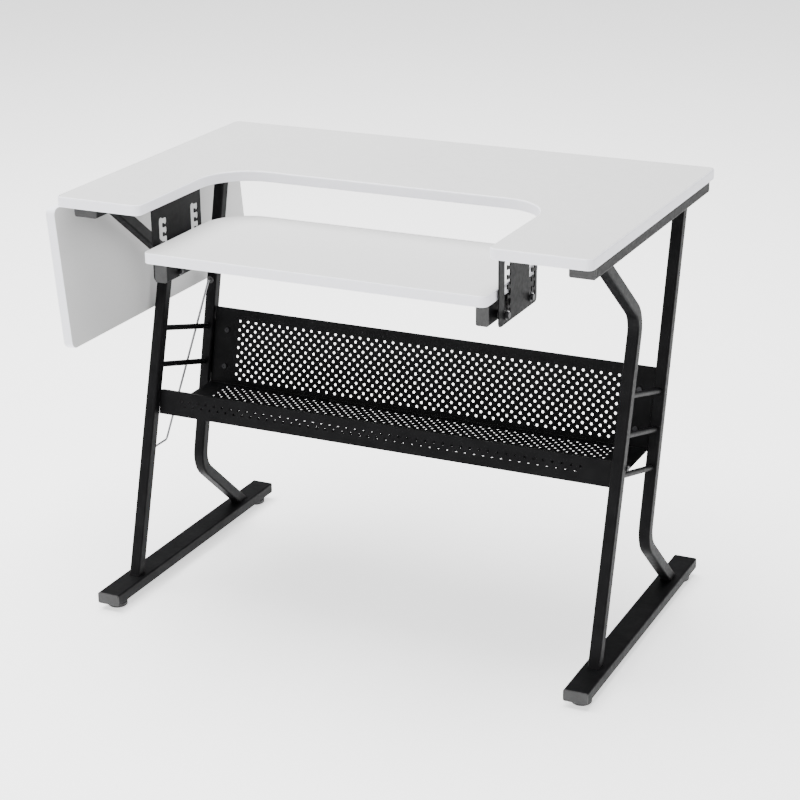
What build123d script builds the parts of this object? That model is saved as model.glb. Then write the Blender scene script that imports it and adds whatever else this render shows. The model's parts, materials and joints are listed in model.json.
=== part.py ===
from build123d import *
import math
import os

# Sewing table: a white board with a machine cut-out on a black tube frame, a machine
# platform that lifts in two comb plates, a drop leaf on the left with a swing-up stay
# rod, and a perforated basket between the legs. Millimetres, +X right, +Y back, +Z up.
# The origin is on the floor under the middle of the whole table, leaf included.

# ---- worktop -------------------------------------------------------------------------
table_height = 750.0
top_width = 928.0
top_depth = 600.0
board = 18.0                 # thickness of every board
corner_r = 12.0              # plan radius of the board corners
edge_top_r = 3.0             # eased upper edge
edge_low_r = 1.2             # eased lower edge
notch_half = 302.0           # half width of the machine cut-out
notch_depth = 277.0
notch_r = 82.0               # inner corner radius of the cut-out
notch_shift = -3.0           # the cut-out sits this far left of the board's middle

# ---- leaf and its hinges --------------------------------------------------------------
leaf_length = 240.0
hinge_gap = 3.2              # board edge to hinge pin, each side
hinge_drop = 1.5             # pin below the undersides of the boards
hinge_pin_r = 1.25
knuckle_r = 2.5
hinge_plate = 1.2
hinge_length = 76.0
hinge_places = (-205.0, 205.0)
fixed_plate_width = 15.0
moving_plate_width = 22.0

# ---- steel frame ----------------------------------------------------------------------
flat_w = 42.0                # rails and feet are 42 x 20 tube laid flat
flat_h = 20.0
leg_w = 20.0                 # legs are 20 x 20 tube
wall = 1.5
tube_r = 3.0
left_plane = -425.5          # leg frames, measured from the middle of the worktop
right_plane = 442.0
left_rail = -422.5
right_rail = 440.0
left_foot = -427.0
right_foot = 443.0
rail_front = -274.5           # ends of the tubes, caps not counted
rail_back = 274.5
foot_back = 282.5
foot_lift = 12.0             # underside of the feet above the floor
front_leg = (-183.0, -28.8, 582.0, -195.0)    # y at the foot, knee y and z, y at the rail
rear_leg = (188.7, 48.3, 156.8, 180.0)
bend_r = 48.0
rung_r = 5.0
rung_tilt = 15.6             # degrees, falling to the rear, square to the legs
rung_spots = {"lower": (2.0, 303.7), "middle": (17.0, 367.4), "upper": (35.0, 430.0)}

# ---- basket ---------------------------------------------------------------------------
sheet = 1.2
basket_floor_z = 311.0
basket_back_top = 446.5
basket_lip_top = 351.5
lip_foot_y = -96.0
basket_slope = 0.242         # both walls lean back this much per unit of height
hem = 20.0                   # folded band along the top of the back panel
hole_r = 2.45
hole_pitch = 16.25           # along X, alternate rows are staggered by half
row_pitch = 8.15

# ---- machine platform -------------------------------------------------------------------
platform_drop = 77.0         # worktop surface down to the platform surface at rest
platform_half = 300.0
platform_depth = 274.0
plate_x = 303.0              # inner face of a comb plate from the middle of the cut-out
plate_t = 2.0
plate_front = -260.0
plate_back = -106.0
plate_low = 612.0
plate_flange = 22.0
hook_count = 6
pin_r = 3.0
nose_r = 3.9                 # sleeve around each bolt where it rides in the comb
pin_low_z = 626.0
pin_places = (-233.0, -133.0)
slot_r = 6.2                 # half width of the vertical channel
hook_r = 4.3
hook_reach = 14.0
hook_drop = 3.5              # the far end of a hook is this much lower
platform_rail_x = 283.0
platform_rail_front = -272.0
platform_rail_back = -90.0
platform_rail_w = 21.0
platform_rail_h = 38.0

# ---- levelling feet and caps ------------------------------------------------------------
glide_r = 17.0
glide_inset = 28.0
glide_stem_r = 4.0
cap_t = 2.5

# ---- stay rod ---------------------------------------------------------------------------
rod_r = 2.0
rod_pivot_z = 496.0
rod_drop = 270.2
rod_start_y = 108.0
rod_foot_y = -20.0
rod_tip_y = -92.0
rod_swing = 5.6              # degrees it hangs out from plumb, leaning on the top rung

# ---- worked-out places --------------------------------------------------------------------
underside = table_height - board
rail_low = underside - flat_h
foot_top = foot_lift + flat_h
hang_angle = math.degrees(math.atan((hinge_drop + board / 2) / (hinge_gap + leaf_length / 2)))
fold_angle = 90 + hang_angle

pin_rel_x = -top_width / 2 - hinge_gap
fold = math.radians(fold_angle)
leaf_corner = (hinge_gap + edge_top_r) * math.cos(fold) + (hinge_drop + board - edge_top_r) * math.sin(fold)
leftmost = pin_rel_x - leaf_corner - edge_top_r
mid_x = -(leftmost + top_width / 2) / 2      # the worktop's middle in the shared frame
hinge_x = mid_x + pin_rel_x
hinge_z = underside - hinge_drop
left_x = mid_x + left_plane
right_x = mid_x + right_plane
notch_x = mid_x + notch_shift
side_x = {"left": left_x, "right": right_x}
rail_x = {"left": mid_x + left_rail, "right": mid_x + right_rail}
foot_x = {"left": mid_x + left_foot, "right": mid_x + right_foot}


def save(name, shape):
    """Write one sub-part, with its solids, as parts/NAME.step."""
    shape.label = name
    export_step(shape, "parts/" + name + ".step")


def group(solids):
    """Several separate solids that share one node."""
    return Compound(children=list(solids))


def bar(x0, x1, y0, y1, z0, z1):
    """A plain block given by its two corners."""
    return Pos((x0 + x1) / 2, (y0 + y1) / 2, (z0 + z1) / 2) * Box(x1 - x0, y1 - y0, z1 - z0)


def rod(axis, x, y, z, radius, length):
    """A round bar that starts at x, y, z and runs along +X, +Y, +Z, or -Z."""
    turns = {"x": (0, 90, 0), "y": (-90, 0, 0), "z": (0, 0, 0), "-z": (180, 0, 0)}
    start = Location((x, y, z), turns[axis])
    low = (Align.CENTER, Align.CENTER, Align.MIN)
    return start * Cylinder(radius, length, align=low)


def ease_board(solid, z_top, z_low):
    """Round the upper and lower edges all round a flat board."""
    upper = solid.edges().filter_by(lambda e: abs(e.center().Z - z_top) < 0.01)
    solid = fillet(upper, edge_top_r)
    lower = solid.edges().filter_by(lambda e: abs(e.center().Z - z_low) < 0.01)
    return fillet(lower, edge_low_r)


def slab(face, z_low):
    """A board of the standard thickness from its plan face, with eased edges."""
    solid = Pos(0, 0, z_low) * extrude(face, board)
    return ease_board(solid, z_low + board, z_low)


# ---- boards -------------------------------------------------------------------------------
def drill(solid, x, y, z_low, radius, depth):
    """Blind pilot hole up into a board from its underside."""
    return solid - rod("z", x, y, z_low - 1, radius + 0.1, depth + 1)


def tabletop():
    outline = Pos(mid_x, 0) * Rectangle(top_width, top_depth)
    front = -top_depth / 2
    overshoot = 20.0
    cut_mid_y = front + (notch_depth - overshoot) / 2
    cut = Pos(notch_x, cut_mid_y) * Rectangle(2 * notch_half, notch_depth + overshoot)
    plan = outline - cut
    inner = plan.vertices().filter_by(lambda v: abs(v.Y - (front + notch_depth)) < 0.1)
    plan = fillet(inner, notch_r)
    outer = plan.vertices().filter_by(lambda v: abs(abs(v.Y) - top_depth / 2) < 0.1)
    plan = fillet(outer, corner_r)
    top = slab(plan, underside)
    for x in rail_x.values():
        for y in rail_screw_places:
            top = drill(top, x, y, underside, 2.2, 13)
    for sign in (-1, 1):
        for y in comb_screw_places:
            top = drill(top, notch_x + sign * (plate_x + 14), y, underside, 2.1, 13)
    for y in hinge_places:
        for dy in (-26, 26):
            top = drill(top, hinge_x + 10, y + dy, underside, 1.7, 13)
    return top


def platform_board():
    front = -top_depth / 2
    plan = Pos(notch_x, front + platform_depth / 2) * Rectangle(2 * platform_half, platform_depth)
    rear = plan.vertices().filter_by(lambda v: v.Y > front + 1)
    plan = fillet(rear, notch_r - 2)
    near = plan.vertices().filter_by(lambda v: v.Y < front + 1)
    plan = fillet(near, corner_r)
    platform = slab(plan, underside - platform_drop)
    for sign in (-1, 1):
        for y in platform_screw_places:
            x = notch_x + sign * platform_rail_x
            platform = drill(platform, x, y, underside - platform_drop, 2.2, 13)
    return platform


def fold_down(shape):
    """Turn a piece of the leaf from level to its hanging place about the hinge pin."""
    return Pos(hinge_x, 0, hinge_z) * Rot(0, -fold_angle, 0) * Pos(-hinge_x, 0, -hinge_z) * shape


def leaf_board():
    near = hinge_x - hinge_gap
    plan = Pos(near - leaf_length / 2, 0) * Rectangle(leaf_length, top_depth)
    plan = fillet(plan.vertices(), corner_r)
    leaf = slab(plan, underside)
    for y in hinge_places:
        for dy in (-26, 26):
            leaf = drill(leaf, hinge_x - 16, y + dy, underside, 1.7, 13)
    return fold_down(leaf)


# ---- leaf hinges ----------------------------------------------------------------------------
def hinge_fixed(y):
    """Plate under the worktop with the two outer knuckles."""
    half = hinge_length / 2
    top = underside
    x0 = hinge_x + 0.2
    plate = bar(x0, x0 + fixed_plate_width, y - half, y + half, top - hinge_plate, top)
    gap_for_middle = bar(x0 - 1, hinge_x + knuckle_r + 0.6, y - 16.4, y + 16.4, top - 6, top + 1)
    piece = plate - gap_for_middle
    for y0 in (y - half, y + 16.4):
        piece += rod("y", hinge_x, y0, hinge_z, knuckle_r, half - 16.4)
    piece -= rod("y", hinge_x, y - half - 1, hinge_z, hinge_pin_r + 0.05, hinge_length + 2)
    for dy in (-26, 26):
        piece -= rod("z", hinge_x + 10, y + dy, top - 3, 1.9, 6)
    return piece


def hinge_moving(y):
    """Plate on the leaf with the middle knuckle, drawn level and folded down."""
    half = hinge_length / 2
    top = underside
    x1 = hinge_x - 0.2
    plate = bar(x1 - moving_plate_width, x1, y - half, y + half, top - hinge_plate, top)
    for side in (-1, 1):
        y_mid = y + side * (half + 16) / 2
        plate -= Pos(x1, y_mid, top) * Box(2 * knuckle_r + 1.6, half - 16 + 0.1, 6)
    piece = plate + rod("y", hinge_x, y - 16, hinge_z, knuckle_r, 32)
    piece -= rod("y", hinge_x, y - 17, hinge_z, hinge_pin_r + 0.05, 34)
    for dy in (-26, 26):
        piece -= rod("z", hinge_x - 16, y + dy, top - 3, 1.9, 6)
    return fold_down(piece)


def hinge_pin(y):
    return rod("y", hinge_x, y - hinge_length / 2, hinge_z, hinge_pin_r, hinge_length)


def screw_up(x, y, z_head, head_r, shank_r, head_h, length):
    """A screw driven upward: dished head below z_head, shank above it."""
    head = rod("-z", x, y, z_head, head_r, head_h)
    head = fillet(head.edges().sort_by(Axis.Z)[0], head_h * 0.55)
    recess = Pos(x, y, z_head - head_h) * Box(head_r * 1.1, head_r * 0.26, head_h)
    cross = Pos(x, y, z_head - head_h) * Box(head_r * 0.26, head_r * 1.1, head_h)
    return head + rod("z", x, y, z_head, shank_r, length) - recess - cross


def hinge_screws_fixed():
    z = underside - hinge_plate
    return group(
        screw_up(hinge_x + 10, y + dy, z, 3.4, 1.7, 1.6, 13) for y in hinge_places for dy in (-26, 26)
    )


def hinge_screws_moving():
    z = underside - hinge_plate
    return group(
        fold_down(screw_up(hinge_x - 16, y + dy, z, 3.4, 1.7, 1.6, 13))
        for y in hinge_places
        for dy in (-26, 26)
    )


# ---- tube frame -----------------------------------------------------------------------------
def flat_tube(x, z_low, y_back):
    """Flat rectangular tube along Y, open at both ends."""
    section = RectangleRounded(flat_w, flat_h, tube_r)
    section -= RectangleRounded(flat_w - 2 * wall, flat_h - 2 * wall, tube_r - wall)
    start = Plane(origin=(x, rail_front, z_low + flat_h / 2), x_dir=(1, 0, 0), z_dir=(0, 1, 0))
    return extrude(start * section, y_back - rail_front)


glide_places = (rail_front + glide_inset, foot_back - glide_inset)


def top_rail(side):
    rail = flat_tube(rail_x[side], rail_low, rail_back)
    for y in rail_screw_places:
        rail -= rod("z", rail_x[side], y, rail_low - 1, 2.6, flat_h + 2)
    return rail


def foot_bar(side):
    foot = flat_tube(foot_x[side], foot_lift, foot_back)
    for y in glide_places:
        foot -= rod("z", foot_x[side], y, foot_lift - 1, 6.0, wall + 2)
    return foot


def leg_path(front):
    """Side view of a leg's centre line: foot, knee, rail."""
    foot_y, knee_y, knee_z, rail_y = front_leg if front else rear_leg
    return [(foot_y, foot_top), (knee_y, knee_z), (rail_y, rail_low)]


def stretch(points, extra):
    """The same path with both ends run on past its tube ends."""
    (y0, z0), (y1, z1), (y2, z2) = points
    first = math.hypot(y0 - y1, z0 - z1)
    last = math.hypot(y2 - y1, z2 - z1)
    start = (y0 + (y0 - y1) * extra / first, z0 + (z0 - z1) * extra / first)
    end = (y2 + (y2 - y1) * extra / last, z2 + (z2 - z1) * extra / last)
    return [start, (y1, z1), end]


def leg_bar(side, front, section):
    """A section swept along a leg and trimmed level at the foot and the rail."""
    x = side_x[side]
    points = [(x, y, z) for y, z in stretch(leg_path(front), 40)]
    path = FilletPolyline(*points, radius=bend_r)
    start = Plane(origin=path @ 0, x_dir=(1, 0, 0), z_dir=path % 0)
    whole = sweep(start * section, path=path)
    return whole & bar(x - 50, x + 50, rail_front, rail_back, foot_top, rail_low)


def leg(side, front):
    section = RectangleRounded(leg_w, leg_w, tube_r)
    section -= RectangleRounded(leg_w - 2 * wall, leg_w - 2 * wall, tube_r - wall)
    tube = leg_bar(side, front, section)
    x = side_x[side]
    if side == "left" and not front:
        tube -= rod("y", x, rod_bush_y - 5, rod_pivot_z, 4.0, 14)
    if front:
        tube -= rod("x", x - 20, lip_bolt_y, lip_bolt_z, 3.0, 40)
    return tube


def leg_centre_y(front, z):
    """Y of the middle of a leg's long straight part at height z."""
    if front:
        foot_y, knee_y, knee_z, rail_y = front_leg
        return foot_y + (knee_y - foot_y) * (z - foot_top) / (knee_z - foot_top)
    foot_y, knee_y, knee_z, rail_y = rear_leg
    return rail_y + (knee_y - rail_y) * (rail_low - z) / (rail_low - knee_z)


def rung(side, name):
    """Round bar between the two legs of one side, cut to their faces."""
    y, z = rung_spots[name]
    x = side_x[side]
    whole = Location((x, y, z), (-90 - rung_tilt, 0, 0)) * Cylinder(rung_r, 230)
    solid_leg = RectangleRounded(leg_w, leg_w, tube_r)
    whole = whole - leg_bar(side, True, solid_leg) - leg_bar(side, False, solid_leg)
    return whole.solids().sort_by(lambda s: -s.volume)[0]


def end_cap(x, y_end, z_mid):
    """Plastic plug in the end of a flat tube: a plate outside and a shorter body inside."""
    out = 1 if y_end > 0 else -1
    plate = RectangleRounded(flat_w, flat_h, tube_r)
    body = RectangleRounded(flat_w - 2 * wall - 0.4, flat_h - 2 * wall - 0.4, tube_r - wall)
    start = Plane(origin=(x, y_end, z_mid), x_dir=(1, 0, 0), z_dir=(0, out, 0))
    cap = extrude(start * plate, cap_t)
    cap = fillet(cap.faces().sort_by(Axis.Y)[-1 if out > 0 else 0].edges(), 1.2)
    return cap + extrude(start * body, -14)


def glide(x, y):
    """Levelling foot: a wide disc on a threaded stem that screws into the foot bar."""
    disc = rod("z", x, y, 0, glide_r, foot_lift - 3.6)
    disc = chamfer(disc.edges().filter_by(GeomType.CIRCLE), 1.6)
    collar = rod("z", x, y, foot_lift - 3.6, 8.0, 2.6)
    stem = rod("z", x, y, foot_lift - 1.0, glide_stem_r, 14)
    return disc + collar + stem


def glide_inserts():
    """Threaded bushes pressed into the underside of the feet."""
    bushes = []
    for x in foot_x.values():
        for y in glide_places:
            bush = rod("z", x, y, foot_lift - 0.4, 6.0, 10.4)
            bush += rod("z", x, y, foot_lift - 0.8, 9.0, 0.8)
            bush -= rod("z", x, y, foot_lift - 2, glide_stem_r + 0.08, 20)
            bushes.append(bush)
    return group(bushes)


rail_screw_places = (-250.0, -60.0, 60.0, 250.0)


def rail_screws():
    """Long screws through the rails into the worktop."""
    return group(
        screw_up(x, y, rail_low, 5.0, 2.2, 2.4, flat_h + 12)
        for x in rail_x.values()
        for y in rail_screw_places
    )


# ---- basket ---------------------------------------------------------------------------------
basket_gap = 0.6
basket_left = left_x + leg_w / 2 + basket_gap
basket_right = right_x - leg_w / 2 - basket_gap
basket_mid = (basket_left + basket_right) / 2
basket_width = basket_right - basket_left
basket_back_y = leg_centre_y(False, basket_floor_z)
wall_rise = math.hypot(1, basket_slope)      # length up a wall for one unit of height
grid_shift = mid_x + 2.0 - basket_mid        # the holes are nearly centred on the worktop


def sheet_plane(front):
    """Plane of a leaning basket wall: local x along X, local y up the slope."""
    y = lip_foot_y if front else basket_back_y
    return Plane(origin=(basket_mid, y, basket_floor_z), x_dir=(1, 0, 0), z_dir=(0, -1, basket_slope))


def hole_places(columns, rows, top_row):
    """Centres of a staggered grid of holes, from the top row down, every second row short."""
    reach = (columns - 1) * hole_pitch / 2
    for row in range(rows):
        shift = (row % 2) * hole_pitch / 2
        for column in range(columns - row % 2):
            yield (grid_shift - reach + shift + column * hole_pitch, top_row - row * row_pitch)


def perforated(width, low, high, holes, extra_holes=()):
    """Flat sheet outline from low to high with its holes."""
    outline = Pos(0, (low + high) / 2) * Rectangle(width, high - low)
    rings = [Wire(Edge.make_circle(hole_r, Plane((x, y, 0)))) for x, y in holes]
    rings += [Wire(Edge.make_circle(2.6, Plane((x, y, 0)))) for x, y in extra_holes]
    return Face(outline.wire(), rings)


back_screw_rise = (31.0, 98.0)       # up the slope from the floor fold
screw_inset = 26.0                   # from the end of the sheet
ear = 14.0                           # lip ends folded back along the legs
lip_bolt_z = 342.0
lip_bolt_y = lip_foot_y + basket_slope * (lip_bolt_z - basket_floor_z) + 6.0


def back_screw_points():
    reach = basket_width / 2 - screw_inset
    return [(side * reach, rise) for side in (-1, 1) for rise in back_screw_rise]


def basket_back_panel():
    """Leaning rear sheet with 14 rows of holes and a folded band along its top."""
    plane = sheet_plane(False)
    height = (basket_back_top - basket_floor_z) * wall_rise
    holes = hole_places(46, 14, height - hem - 2.0)
    face = perforated(basket_width, 0.3, height, holes, back_screw_points())
    panel = plane.location * extrude(face, sheet, dir=(0, 0, 1))
    band = Pos(0, height - hem / 2) * Rectangle(basket_width, hem)
    return panel + extrude(plane.offset(sheet) * band, sheet)


def basket_floor():
    """Level bottom sheet with holes all over."""
    back = basket_back_y + 0.4
    front = lip_foot_y + 0.4
    rows = int((back - front - 24) / row_pitch)
    holes = hole_places(47, rows, back - front - 17)
    face = perforated(basket_width, 0, back - front, holes)
    place = Pos(basket_mid, front, basket_floor_z - sheet)
    return place * extrude(face, sheet, dir=(0, 0, 1))


def basket_front_lip():
    """Leaning front sheet with two rows of holes, a folded top edge, and folded ends."""
    plane = sheet_plane(True)
    height = (basket_lip_top - basket_floor_z) * wall_rise
    holes = hole_places(47, 2, height - 16)
    face = perforated(basket_width, -sheet, height, holes)
    lip = plane.location * extrude(face, sheet, dir=(0, 0, 1))
    edge = Pos(0, height - sheet / 2) * Rectangle(basket_width, sheet)
    lip += extrude(plane * edge, -8)
    for sign in (-1, 1):
        fold_line = Pos(sign * (basket_width / 2 - sheet / 2), height / 2 + 1) * Rectangle(sheet, height - 9)
        tab = extrude(plane * fold_line, -ear)
        x = basket_mid + sign * basket_width / 2
        lip += tab - rod("x", x - 5, lip_bolt_y, lip_bolt_z, 3.0, 10)
    return lip


def bracket(side):
    """Welded angle on the rear leg's inner face that the back panel is screwed to."""
    sign = 1 if side == "left" else -1
    plane = sheet_plane(False)
    end = -sign * basket_width / 2
    low, high, reach = 16.0, 114.0, 38.0
    tab = Pos(end + sign * (reach - 0.6) / 2, (low + high) / 2) * Rectangle(reach + 0.6, high - low)
    tab = extrude(plane.offset(-1.7) * tab, 1.6)
    foot = Pos(end + sign * 0.3, (low + high) / 2) * Rectangle(1.8, high - low)
    piece = tab + extrude(plane.offset(-8.0) * foot, 7.9)
    for rise in back_screw_rise:
        piece -= extrude(plane.offset(-6) * (Pos(end + sign * screw_inset, rise) * Circle(2.6)), 8)
    return piece


def basket_screw(x, y):
    """Pan-head machine screw through the back panel and its bracket, head in front."""
    spot = sheet_plane(False).location * Pos(x, y, sheet)
    base = (Align.CENTER, Align.CENTER, Align.MIN)
    head = spot * Cylinder(4.4, 2.4, align=base)
    socket = spot * Pos(0, 0, 1.2) * extrude(RegularPolygon(1.7, 6), 3)
    shank = spot * Pos(0, 0, -8.5) * Cylinder(2.2, 8.5, align=base)
    return head + shank - socket


def basket_nut(x, y):
    spot = sheet_plane(False).location * Pos(x, y, -1.7)
    return spot * (extrude(RegularPolygon(4.2, 6), -3.4) - Cylinder(2.2, 20))


def basket_screws():
    return group(basket_screw(x, y) for x, y in back_screw_points())


def basket_nuts():
    return group(basket_nut(x, y) for x, y in back_screw_points())


def lip_bolt(side):
    """Bolt through a front leg and the folded end of the lip, with its nut inside."""
    sign = -1 if side == "left" else 1
    out = side_x[side] + sign * leg_w / 2
    spot = Location((out, lip_bolt_y, lip_bolt_z), (0, 90 * sign, 0))
    head = fillet(Cylinder(5.0, 2.6, align=(Align.CENTER, Align.CENTER, Align.MIN)).edges()
                  .sort_by(Axis.Z)[-1], 1.4)
    head -= Pos(0, 0, 1.3) * extrude(RegularPolygon(2.0, 6), 3)
    shank = Cylinder(2.6, leg_w + 8, align=(Align.CENTER, Align.CENTER, Align.MAX))
    nut = Pos(0, 0, -leg_w - basket_gap - sheet - 0.1) * extrude(RegularPolygon(4.8, 6), -4)
    return spot * (head + shank + nut)


def lip_bolts():
    return group(lip_bolt(side) for side in ("left", "right"))


# ---- machine platform -----------------------------------------------------------------------
def comb_cut(y):
    """Outline of one comb: an upright channel with hooks that drop at their far ends."""
    top = pin_low_z + platform_drop
    pitch = platform_drop / (hook_count - 1)
    low = pin_low_z
    rise = top - low + 2.6
    base = low + slot_r - nose_r - 0.15
    channel = Pos(y, base + rise / 2) * SlotCenterToCenter(rise, 2 * slot_r, rotation=90)
    cut = Sketch() + channel
    for index in range(hook_count):
        z = pin_low_z + index * pitch + hook_r - nose_r - 0.15
        arm = Pos(y + hook_reach / 2, z + hook_drop) * SlotCenterToCenter(hook_reach, 2 * hook_r)
        drop = Pos(y + hook_reach, z + hook_drop / 2)
        drop = drop * SlotCenterToCenter(hook_drop, 2 * hook_r, rotation=90)
        cut += arm
        cut += drop
    return cut


def comb_plate(side):
    """Steel plate under the worktop beside the cut-out, with an outward flange on top."""
    sign = -1 if side == "left" else 1
    face = Pos((plate_front + plate_back) / 2, (underside + plate_low) / 2)
    face = face * Rectangle(plate_back - plate_front, underside - plate_low)
    low = face.vertices().filter_by(lambda v: v.Y < plate_low + 1)
    face = fillet(low, 8)
    for y in pin_places:
        face -= comb_cut(y)
    x_in = notch_x + sign * plate_x
    start = Plane(origin=(x_in, 0, 0), x_dir=(0, 1, 0), z_dir=(1, 0, 0))
    plate = extrude(start * face, sign * plate_t)
    outer = x_in + sign * plate_flange
    flange = bar(min(x_in, outer), max(x_in, outer), plate_front, plate_back, underside - plate_t, underside)
    for y in comb_screw_places:
        flange -= rod("z", x_in + sign * 14, y, underside - 5, 2.6, 8)
    return plate + flange


comb_screw_places = (-250.0, -183.0, -116.0)


def comb_plate_screws():
    z = underside - plate_t
    return group(
        screw_up(notch_x + sign * (plate_x + 14), y, z, 4.2, 2.1, 2.0, 14)
        for sign in (-1, 1)
        for y in comb_screw_places
    )


def platform_rail(side):
    """Upright 38 x 21 tube under an edge of the platform."""
    sign = -1 if side == "left" else 1
    x = notch_x + sign * platform_rail_x
    z = underside - platform_drop - platform_rail_h / 2
    section = RectangleRounded(platform_rail_w, platform_rail_h, tube_r)
    section -= RectangleRounded(platform_rail_w - 2 * wall, platform_rail_h - 2 * wall, tube_r - wall)
    start = Plane(origin=(x, platform_rail_front, z), x_dir=(1, 0, 0), z_dir=(0, 1, 0))
    rail = extrude(start * section, platform_rail_back - platform_rail_front)
    for y in pin_places:
        rail -= rod("x", x - 15, y, pin_low_z, pin_r + 0.1, 30)
    for y in platform_screw_places:
        rail -= rod("z", x, y, z - platform_rail_h, 2.6, 2 * platform_rail_h)
    return rail


platform_screw_places = (-183.0, -112.0)


def platform_rail_caps():
    """Plastic plugs in the front ends of the platform rails."""
    caps = []
    z = underside - platform_drop - platform_rail_h / 2
    for sign in (-1, 1):
        x = notch_x + sign * platform_rail_x
        for y, out in ((platform_rail_front, -1), (platform_rail_back, 1)):
            start = Plane(origin=(x, y, z), x_dir=(1, 0, 0), z_dir=(0, out, 0))
            plate = extrude(start * RectangleRounded(platform_rail_w, platform_rail_h, tube_r), cap_t)
            inside = RectangleRounded(platform_rail_w - 2 * wall - 0.4, platform_rail_h - 2 * wall - 0.4, tube_r - wall)
            caps.append(plate + extrude(start * inside, -12))
    return group(caps)


def platform_rail_screws():
    z = underside - platform_drop - platform_rail_h
    return group(
        screw_up(notch_x + sign * platform_rail_x, y, z, 5.0, 2.2, 2.4, platform_rail_h + 12)
        for sign in (-1, 1)
        for y in platform_screw_places
    )


def along_x(sign, x, y, solid):
    """Place a solid drawn along +Z so that it points outward from the platform."""
    return Location((x, y, pin_low_z), (0, 90 * sign, 0)) * solid


bolt_seat = plate_x + plate_t + 0.35         # inner face of the washer, outside the plate
rail_face = platform_rail_x + platform_rail_w / 2


def platform_bolts():
    """Cross bolts that hang the platform in the combs, hex heads outside."""
    bolts = []
    base = (Align.CENTER, Align.CENTER, Align.MIN)
    inner = platform_rail_x - platform_rail_w / 2 - 6.5
    for sign in (-1, 1):
        for y in pin_places:
            shank = Cylinder(pin_r, bolt_seat + 1.6 - inner, align=base)
            head = Pos(0, 0, bolt_seat + 1.6 - inner) * extrude(RegularPolygon(5.6, 6), 4.2)
            washer = Pos(0, 0, bolt_seat - inner) * Cylinder(7.5, 1.6, align=base)
            bolt = head + shank + washer
            bolts.append(along_x(sign, notch_x + sign * inner, y, bolt))
    return group(bolts)


def platform_spacers():
    """Nylon sleeves between the platform rails and the comb plates."""
    sleeves = []
    base = (Align.CENTER, Align.CENTER, Align.MIN)
    length = plate_x - 0.4 - rail_face
    for sign in (-1, 1):
        for y in pin_places:
            sleeve = Cylinder(7.0, length, align=base) + Cylinder(nose_r, bolt_seat - rail_face, align=base)
            sleeve -= Cylinder(pin_r + 0.08, 5 * length)
            sleeves.append(along_x(sign, notch_x + sign * rail_face, y, sleeve))
    return group(sleeves)


def platform_nuts():
    nuts = []
    inner = platform_rail_x - platform_rail_w / 2
    for sign in (-1, 1):
        for y in pin_places:
            nut = extrude(RegularPolygon(5.6, 6), -5.0) - Cylinder(pin_r, 40)
            nuts.append(along_x(sign, notch_x + sign * inner, y, nut))
    return group(nuts)


# ---- stay rod ---------------------------------------------------------------------------
def rod_face_y():
    """Where the rod's axis meets the front face of the rear left leg."""
    foot_y, knee_y, knee_z, rail_y = rear_leg
    lean = math.hypot(1, (rail_y - knee_y) / (rail_low - knee_z))
    return leg_centre_y(False, rod_pivot_z) - leg_w / 2 * lean


rod_bush_y = rod_face_y()


def swing_out(shape):
    """Turn the rod from plumb to its resting lean about its pivot."""
    return Pos(left_x, 0, rod_pivot_z) * Rot(0, rod_swing, 0) * Pos(-left_x, 0, -rod_pivot_z) * shape


def support_rod():
    """Bent wire that hangs from the rear left leg and swings up under the leaf."""
    low_z = rod_pivot_z - rod_drop
    points = [
        (left_x, rod_bush_y + 8, rod_pivot_z),
        (left_x, rod_start_y, rod_pivot_z),
        (left_x, rod_foot_y, low_z),
        (left_x, rod_tip_y, low_z),
    ]
    path = FilletPolyline(*points, radius=9)
    start = Plane(origin=path @ 0, z_dir=path % 0)
    wire = sweep(start * Circle(rod_r), path=path)
    return swing_out(wire + rod("y", left_x, rod_bush_y + 7.8, rod_pivot_z, 3.2, 1.4))


def rod_bush():
    """Plastic grommet in the rear left leg that the stay rod turns in."""
    sleeve = rod("y", left_x, rod_bush_y - 3, rod_pivot_z, 3.98, 10.6)
    flange = rod("y", left_x, rod_bush_y - 4.4, rod_pivot_z, 6.5, 2.0)
    return sleeve + flange - rod("y", left_x, rod_bush_y - 20, rod_pivot_z, rod_r + 0.06, 60)


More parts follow.
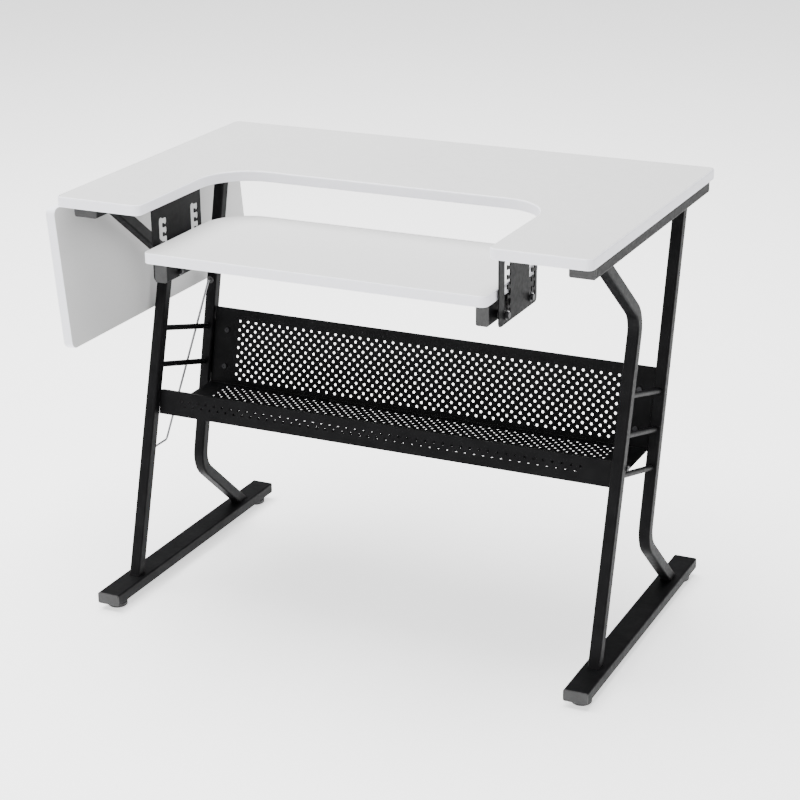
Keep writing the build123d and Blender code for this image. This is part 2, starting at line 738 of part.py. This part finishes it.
# ---- write everything -----------------------------------------------------------------------
def build():
    os.makedirs("parts", exist_ok=True)
    save("tabletop", tabletop())
    save("leaf_board", leaf_board())
    save("platform_board", platform_board())
    for name, y in zip(("front", "rear"), hinge_places):
        save(name + "_hinge_fixed_plate", hinge_fixed(y))
        save(name + "_hinge_moving_plate", hinge_moving(y))
        save(name + "_hinge_pin", hinge_pin(y))
    save("hinge_screws_worktop", hinge_screws_fixed())
    save("hinge_screws_leaf", hinge_screws_moving())
    for side in ("left", "right"):
        save(side + "_top_rail", top_rail(side))
        save(side + "_foot_bar", foot_bar(side))
        save(side + "_front_leg", leg(side, True))
        save(side + "_rear_leg", leg(side, False))
        for name in rung_spots:
            save(side + "_" + name + "_rung", rung(side, name))
        rail_mid = rail_low + flat_h / 2
        foot_mid = foot_lift + flat_h / 2
        save(side + "_front_rail_cap", end_cap(rail_x[side], rail_front, rail_mid))
        save(side + "_rear_rail_cap", end_cap(rail_x[side], rail_back, rail_mid))
        save(side + "_front_foot_cap", end_cap(foot_x[side], rail_front, foot_mid))
        save(side + "_rear_foot_cap", end_cap(foot_x[side], foot_back, foot_mid))
        for name, y in zip(("front", "rear"), glide_places):
            save(side + "_" + name + "_glide", glide(foot_x[side], y))
        save(side + "_basket_bracket", bracket(side))
        save(side + "_comb_plate", comb_plate(side))
        save(side + "_platform_rail", platform_rail(side))
    save("glide_inserts", glide_inserts())
    save("rail_screws", rail_screws())
    save("basket_back_panel", basket_back_panel())
    save("basket_floor", basket_floor())
    save("basket_front_lip", basket_front_lip())
    save("basket_screws", basket_screws())
    save("basket_nuts", basket_nuts())
    save("lip_bolts", lip_bolts())
    save("comb_plate_screws", comb_plate_screws())
    save("platform_rail_caps", platform_rail_caps())
    save("platform_rail_screws", platform_rail_screws())
    save("platform_bolts", platform_bolts())
    save("platform_spacers", platform_spacers())
    save("platform_nuts", platform_nuts())
    save("support_rod", support_rod())
    save("rod_bush", rod_bush())
    print("worktop middle x", round(mid_x, 3), "hinge", round(hinge_x, 3), round(hinge_z, 3))
    top_gap = underside - 0.3 - rod_r - rod_pivot_z
    lift = 180 - math.degrees(math.acos(top_gap / rod_drop)) - rod_swing
    print("rod lift", round(lift, 3), "ratio", round(lift / fold_angle, 5))
    print("hang angle", round(hang_angle, 3), "left", round(left_x, 3), "right", round(right_x, 3))


build()
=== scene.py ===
import json
import math
import random

import bpy
from mathutils import Matrix, Vector


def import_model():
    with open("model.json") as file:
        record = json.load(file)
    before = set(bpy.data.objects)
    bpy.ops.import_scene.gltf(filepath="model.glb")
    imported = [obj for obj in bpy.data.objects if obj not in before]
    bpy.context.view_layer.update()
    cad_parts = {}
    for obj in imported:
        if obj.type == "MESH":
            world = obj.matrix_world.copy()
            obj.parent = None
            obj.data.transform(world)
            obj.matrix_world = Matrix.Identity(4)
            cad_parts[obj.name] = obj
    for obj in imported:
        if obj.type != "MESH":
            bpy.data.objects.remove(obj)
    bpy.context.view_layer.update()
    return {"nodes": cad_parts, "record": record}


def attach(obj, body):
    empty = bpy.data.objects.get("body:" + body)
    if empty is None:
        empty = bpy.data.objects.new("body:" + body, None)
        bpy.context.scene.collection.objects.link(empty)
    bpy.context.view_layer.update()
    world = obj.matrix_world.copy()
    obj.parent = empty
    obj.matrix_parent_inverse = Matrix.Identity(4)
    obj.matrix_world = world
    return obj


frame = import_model()
nodes = frame["nodes"]
random.seed(11)
MM = 0.001
MID_X = 11.057 * MM          # middle of the worktop; the origin is the whole table's middle
LEAF_FOLD = math.radians(94.871)   # from hanging up to level with the worktop


# ---- materials ------------------------------------------------------------------------------
class Graph:
    """A small helper that adds and links shader nodes."""

    def __init__(self, name):
        self.mat = bpy.data.materials.new(name)
        self.mat.use_nodes = True
        self.tree = self.mat.node_tree
        self.shader = self.tree.nodes["Principled BSDF"]
        self.coord = self.add("ShaderNodeTexCoord")

    def add(self, kind, **values):
        node = self.tree.nodes.new(kind)
        for key, value in values.items():
            setattr(node, key, value)
        return node

    def link(self, out, into):
        self.tree.links.new(out, into)

    def noise(self, scale, detail=3.0, rough=0.5, stretch=None):
        """Noise in object space, stretched along an axis if asked."""
        node = self.add("ShaderNodeTexNoise")
        node.inputs["Scale"].default_value = scale
        node.inputs["Detail"].default_value = detail
        node.inputs["Roughness"].default_value = rough
        source = self.coord.outputs["Object"]
        if stretch:
            mapping = self.add("ShaderNodeMapping")
            mapping.inputs["Scale"].default_value = stretch
            self.link(source, mapping.inputs["Vector"])
            source = mapping.outputs["Vector"]
        self.link(source, node.inputs["Vector"])
        return node.outputs["Fac"]

    def ramp(self, fac, low, high, start=0.3, end=0.7):
        node = self.add("ShaderNodeValToRGB")
        node.color_ramp.elements[0].position = start
        node.color_ramp.elements[0].color = (*low, 1)
        node.color_ramp.elements[1].position = end
        node.color_ramp.elements[1].color = (*high, 1)
        self.link(fac, node.inputs["Fac"])
        return node.outputs["Color"]

    def span(self, fac, low, high, start=0.3, end=0.7):
        node = self.add("ShaderNodeMapRange")
        node.inputs["From Min"].default_value = start
        node.inputs["From Max"].default_value = end
        node.inputs["To Min"].default_value = low
        node.inputs["To Max"].default_value = high
        self.link(fac, node.inputs["Value"])
        return node.outputs["Result"]

    def mix(self, fac, a, b):
        node = self.add("ShaderNodeMix", data_type="RGBA")
        self.link(fac, node.inputs[0])
        self.link(a, node.inputs[6])
        self.link(b, node.inputs[7])
        return node.outputs[2]

    def bump(self, fac, strength, depth):
        node = self.add("ShaderNodeBump")
        node.inputs["Strength"].default_value = strength
        node.inputs["Distance"].default_value = depth
        self.link(fac, node.inputs["Height"])
        self.link(node.outputs["Normal"], self.shader.inputs["Normal"])

    def color(self, socket):
        self.link(socket, self.shader.inputs["Base Color"])

    def rough(self, socket):
        self.link(socket, self.shader.inputs["Roughness"])


def board_material(name, up):
    """White laminate: faces a touch grey, edge bands a touch lavender; up is the face's normal."""
    g = Graph(name)
    tone = g.noise(3.0, 4.0)
    face = g.ramp(tone, (0.56, 0.56, 0.56), (0.58, 0.58, 0.578))
    band = g.ramp(tone, (0.88, 0.88, 0.94), (0.90, 0.90, 0.95))
    dot = g.add("ShaderNodeVectorMath", operation="DOT_PRODUCT")
    dot.inputs[1].default_value = up
    g.link(g.coord.outputs["Normal"], dot.inputs[0])
    size = g.add("ShaderNodeMath", operation="ABSOLUTE")
    g.link(dot.outputs["Value"], size.inputs[0])
    flat = g.span(size.outputs[0], 0.0, 1.0, 0.72, 0.93)
    g.color(g.mix(flat, band, face))
    g.rough(g.span(g.noise(60.0, 4.0), 0.40, 0.50))
    g.bump(g.noise(900.0, 2.0), 0.10, 0.00012)
    g.shader.inputs["Specular IOR Level"].default_value = 0.42
    return g.mat


def coat_material(name):
    """Satin black powder coat with a fine orange peel."""
    g = Graph(name)
    g.color(g.ramp(g.noise(35.0, 5.0), (0.0030, 0.0030, 0.0034), (0.0065, 0.0065, 0.0070)))
    g.rough(g.span(g.noise(140.0, 3.0), 0.42, 0.54))
    g.bump(g.noise(1100.0, 2.0), 0.22, 0.0002)
    g.shader.inputs["Specular IOR Level"].default_value = 0.45
    g.shader.inputs["IOR"].default_value = 1.16
    return g.mat


def steel_material(name, low, high, stretch, rough):
    """Bare or plated steel with drawing streaks."""
    g = Graph(name)
    streaks = g.noise(90.0, 5.0, 0.6, stretch)
    g.color(g.ramp(streaks, low, high))
    g.rough(g.span(streaks, rough - 0.06, rough + 0.08))
    g.bump(streaks, 0.12, 0.0001)
    g.shader.inputs["Metallic"].default_value = 1.0
    return g.mat


def plastic_material(name, low, high):
    """Moulded black plastic with a fine spark-eroded grain."""
    g = Graph(name)
    g.color(g.ramp(g.noise(55.0, 3.0), low, high))
    g.rough(g.span(g.noise(300.0, 2.0), 0.48, 0.62))
    g.bump(g.noise(1600.0, 2.0), 0.3, 0.0002)
    return g.mat


EVEN = (1, 1, 1)
ALONG_Y = (1, 0.05, 0.4)
coat = coat_material("black_powder_coat")
slot_materials = {
    "white_board": board_material("white_laminate", (0, 0, 1)),
    "black_steel": coat,
    "bright_steel": steel_material(
        "drawn_steel", (0.24, 0.24, 0.25), (0.40, 0.40, 0.41), ALONG_Y, 0.30
    ),
    "zinc_hardware": steel_material(
        "zinc_plate", (0.42, 0.43, 0.45), (0.56, 0.57, 0.58), EVEN, 0.34
    ),
    "black_hardware": steel_material(
        "blackened_steel", (0.02, 0.02, 0.022), (0.05, 0.05, 0.052), EVEN, 0.38
    ),
    "black_plastic": plastic_material(
        "black_plastic", (0.012, 0.012, 0.012), (0.022, 0.022, 0.023)
    ),
}
# The leaf hangs, so its faces need their own normal to be told from its edges.
leaf_up = (-math.sin(LEAF_FOLD), 0, math.cos(LEAF_FOLD))
leaf_laminate = board_material("white_laminate_leaf", leaf_up)
for part in frame["record"]["subparts"]:
    paint = slot_materials[part["material_slot"]]
    if part["node"] == "leaf_board":
        paint = leaf_laminate
    for slot in nodes[part["node"]].material_slots:
        slot.material = paint


# ---- weld beads -----------------------------------------------------------------------------
BEAD_SIDES = 8
BEAD_RIPPLE = 0.16
BEAD_SCATTER = 0.07


def bead(name, ring, inside, radius):
    """A rippled weld bead along a closed ring of points; inside is the ring's middle."""
    verts = []
    faces = []
    count = len(ring)
    for i, point in enumerate(ring):
        ahead = ring[(i + 1) % count] - ring[i - 1]
        out = (point - inside).normalized()
        side = ahead.cross(out).normalized()
        scatter = random.uniform(-BEAD_SCATTER, BEAD_SCATTER)
        swell = radius * (1 + BEAD_RIPPLE * math.sin(i * 2.1) + scatter)
        for k in range(BEAD_SIDES):
            turn = 2 * math.pi * k / BEAD_SIDES
            verts.append(point + swell * (math.cos(turn) * out + math.sin(turn) * side))
    for i in range(count):
        near, far = i * BEAD_SIDES, ((i + 1) % count) * BEAD_SIDES
        for k in range(BEAD_SIDES):
            after = (k + 1) % BEAD_SIDES
            faces.append((near + k, near + after, far + after, far + k))
    mesh = bpy.data.meshes.new(name)
    mesh.from_pydata(verts, [], faces)
    for face in mesh.polygons:
        face.use_smooth = True
    mesh.materials.append(coat)
    obj = bpy.data.objects.new(name, mesh)
    bpy.context.collection.objects.link(obj)
    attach(obj, "frame")


def rounded_square(centre, half_x, half_y, corner, step=10):
    """Points round a level rounded rectangle, quarter by quarter from +X +Y."""

    def corner_middle(quarter):
        x = (half_x - corner) * (1 if quarter in (0, 3) else -1)
        y = (half_y - corner) * (1 if quarter in (0, 1) else -1)
        return Vector((centre.x + x, centre.y + y, centre.z))

    def offset(turn):
        return corner * Vector((math.cos(turn), math.sin(turn), 0))

    points = []
    for quarter in range(4):
        mid = corner_middle(quarter)
        base = math.pi / 2 * quarter
        for k in range(5):
            points.append(mid + offset(base + math.pi / 2 * k / 4))
        end = base + math.pi / 2
        a = mid + offset(end)
        b = corner_middle((quarter + 1) % 4) + offset(end)
        for k in range(1, step):
            points.append(a.lerp(b, k / step))
    return points


# (y, z) in mm of each leg's foot, bend and rail end, as foot, knee, rail.
LEGS = {
    "front": ((-183.0, 32.0), (-28.8, 582.0), (-195.0, 712.0)),
    "rear": ((188.7, 32.0), (48.3, 156.8), (180.0, 712.0)),
}
SIDES = {"left": -425.5, "right": 442.0}
LEG_HALF = 10.0
LEG_CORNER = 3.0
LEG_BEAD = 1.3


def leg_welds(side, place):
    """A bead round each end of a leg, where it meets the foot bar and the top rail."""
    foot, knee, rail = LEGS[place]
    x = SIDES[side] * MM + MID_X
    for end, (y, z), lift in (("foot", foot, 1), ("rail", rail, -1)):
        lean = math.hypot(1, (y - knee[0]) / (z - knee[1]))
        slope = (knee[0] - y) / (knee[1] - z)
        level = z + lift * 0.5
        centre = Vector((x, (y + slope * (level - z)) * MM, level * MM))
        ring = rounded_square(centre, LEG_HALF * MM, LEG_HALF * lean * MM, LEG_CORNER * MM)
        bead(side + "_" + place + "_leg_" + end + "_weld", ring, centre, LEG_BEAD * MM)


def leg_line(place, z):
    """Y of the middle of a leg's long straight part, in mm, and its slope."""
    foot, knee, rail = LEGS[place]
    (y0, z0), (y1, z1) = (foot, knee) if place == "front" else (rail, knee)
    return y0 + (y1 - y0) * (z - z0) / (z1 - z0), (y1 - y0) / (z1 - z0)


# (y, z) in mm of a point on each rung's middle line.
RUNGS = {"lower": (2.0, 303.7), "middle": (17.0, 367.4), "upper": (35.0, 430.0)}
RUNG_TILT = math.radians(15.6)
RUNG_R = 5.0
RUNG_BEAD = 1.2
RING_POINTS = 28


def rung_welds(side, name):
    """A bead where each end of a rung meets its leg's face."""
    y0, z0 = RUNGS[name]
    x = SIDES[side] * MM + MID_X
    for place, sign in (("front", -1), ("rear", 1)):
        along = Vector((0, sign * math.cos(RUNG_TILT), -sign * math.sin(RUNG_TILT)))
        reach = 0.0
        for _ in range(12):
            z = z0 + along.z * reach
            y_leg, slope = leg_line(place, z)
            face = y_leg - sign * LEG_HALF * math.hypot(1, slope)
            reach = (face - y0) / along.y
        centre = Vector((x, (y0 + along.y * reach) * MM, (z0 + along.z * reach) * MM))
        across = Vector((1, 0, 0))
        up = Vector((0, slope, 1)).normalized()
        back = -0.4 * MM * along
        ring = [
            centre + back + (RUNG_R + 0.3) * MM * (math.cos(t) * across + math.sin(t) * up)
            for t in (2 * math.pi * k / RING_POINTS for k in range(RING_POINTS))
        ]
        bead(side + "_" + name + "_rung_" + place + "_weld", ring, centre, RUNG_BEAD * MM)


for side in SIDES:
    for place in LEGS:
        leg_welds(side, place)
    for name in RUNGS:
        rung_welds(side, name)


# ---- floor, light, camera -------------------------------------------------------------------
def floor(half=9):
    """A wide pale floor with a faint glow, for an even backdrop."""
    mesh = bpy.data.meshes.new("floor")
    corners = [(-half, -half, 0), (half, -half, 0), (half, half, 0), (-half, half, 0)]
    mesh.from_pydata(corners, [], [(0, 1, 2, 3)])
    obj = bpy.data.objects.new("floor", mesh)
    bpy.context.collection.objects.link(obj)
    g = Graph("floor_white")
    g.color(g.ramp(g.noise(2.0), (0.94, 0.94, 0.94), (0.955, 0.955, 0.955)))
    g.shader.inputs["Roughness"].default_value = 0.9
    g.shader.inputs["Specular IOR Level"].default_value = 0.1
    g.shader.inputs["Emission Color"].default_value = (1, 1, 1, 1)
    g.shader.inputs["Emission Strength"].default_value = 1.2
    mesh.materials.append(g.mat)


def area_light(name, place, aim, size, power):
    lamp = bpy.data.lights.new(name, "AREA")
    lamp.shape = "SQUARE"
    lamp.size = size
    lamp.energy = power
    obj = bpy.data.objects.new(name, lamp)
    obj.location = place
    obj.rotation_euler = (Vector(aim) - Vector(place)).to_track_quat("-Z", "Y").to_euler()
    bpy.context.collection.objects.link(obj)


def world(strength):
    sky = bpy.data.worlds.new("studio")
    sky.use_nodes = True
    back = sky.node_tree.nodes["Background"]
    back.inputs["Color"].default_value = (1, 1, 1, 1)
    back.inputs["Strength"].default_value = strength
    bpy.context.scene.world = sky


CAMERA_TURN = (25.44, 20.33, -0.62)      # azimuth, elevation and roll in degrees
CAMERA_DISTANCE = 3.5795
CAMERA_LENS = 93.70
TARGET_MM = (10.72, 0, 365.25)           # x from the worktop's middle, y, height above the floor


def camera():
    azimuth, elevation, roll = (math.radians(a) for a in CAMERA_TURN)
    back = Vector((
        math.sin(azimuth) * math.cos(elevation),
        -math.cos(azimuth) * math.cos(elevation),
        math.sin(elevation),
    ))
    level = Vector((math.cos(azimuth), math.sin(azimuth), 0))
    up = back.cross(level)
    right = level * math.cos(roll) + up * math.sin(roll)
    top = up * math.cos(roll) - level * math.sin(roll)
    target = Vector((TARGET_MM[0] * MM + MID_X, TARGET_MM[1] * MM, TARGET_MM[2] * MM))
    lens = bpy.data.cameras.new("camera")
    lens.sensor_width = 36.0
    lens.lens = CAMERA_LENS
    obj = bpy.data.objects.new("camera", lens)
    spot = target + back * CAMERA_DISTANCE
    turn = Matrix((right, top, back)).transposed().to_4x4()
    obj.matrix_world = Matrix.Translation(spot) @ turn
    bpy.context.collection.objects.link(obj)
    bpy.context.scene.camera = obj


floor()
world(0.40)
area_light("overhead", (-0.7, 0.1, 4.2), (-0.1, 0, 0.4), 4.5, 700)
area_light("front", (-1.3, -4.6, 1.9), (0, 0, 0.45), 3.6, 90)
camera()
